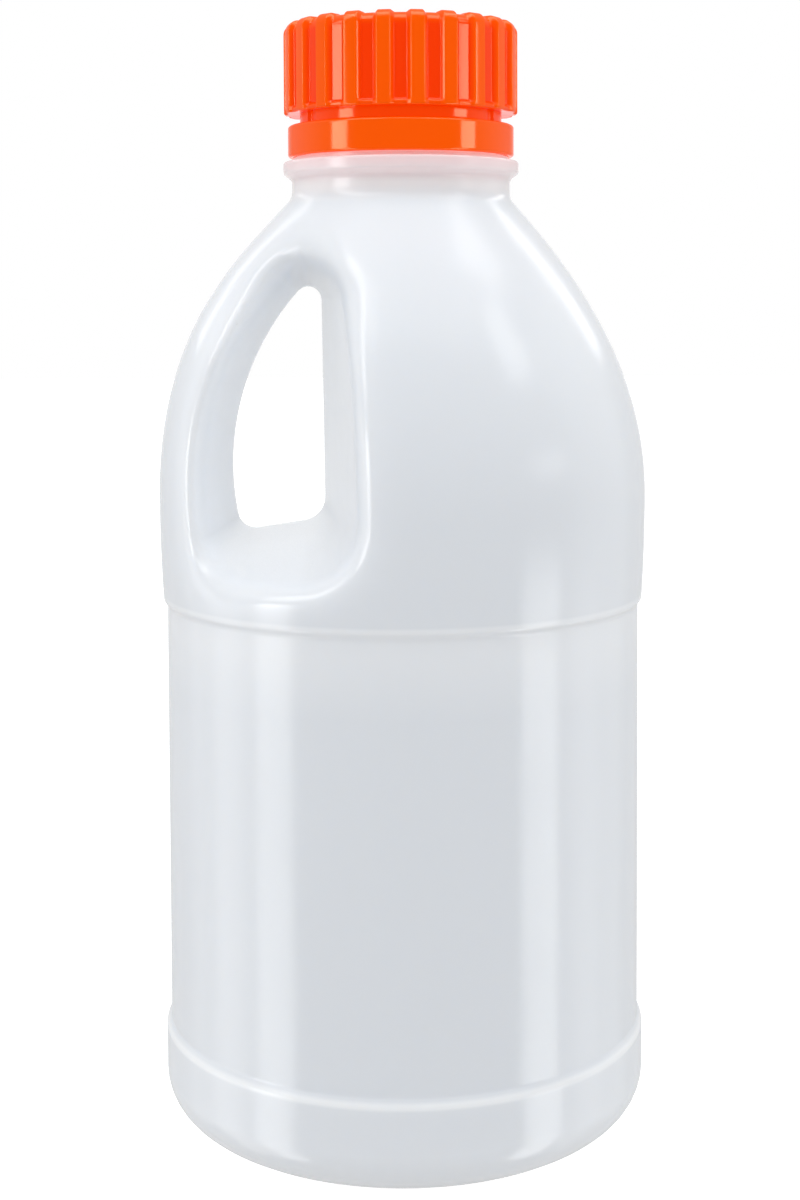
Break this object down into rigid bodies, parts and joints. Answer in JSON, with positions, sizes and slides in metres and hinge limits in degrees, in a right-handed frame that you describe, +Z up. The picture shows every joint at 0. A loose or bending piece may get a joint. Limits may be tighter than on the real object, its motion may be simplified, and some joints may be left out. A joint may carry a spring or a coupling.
{
  "type": "detergent jug",
  "caption": "White blow-moulded two-litre jug with a moulded-in side handle, plain label panel, ribbed orange screw cap and tamper-evident ring.",
  "frame": {"origin": "centre of the base, on the floor the jug stands on", "axes": "+Z up along the jug's axis; the handle is on the -X side; the mould's parting plane is Y = 0, and -Y is the shown side"},
  "size_m": [0.12, 0.12, 0.2685],
  "materials": {
    "jug_plastic": "glossy white blow-moulded polyethylene",
    "cap_plastic": "glossy orange moulded polypropylene"
  },
  "bodies": {
    "root": {"jug": "jug_plastic", "cap": "cap_plastic", "tamper_ring": "cap_plastic"}
  },
  "joints": []
}
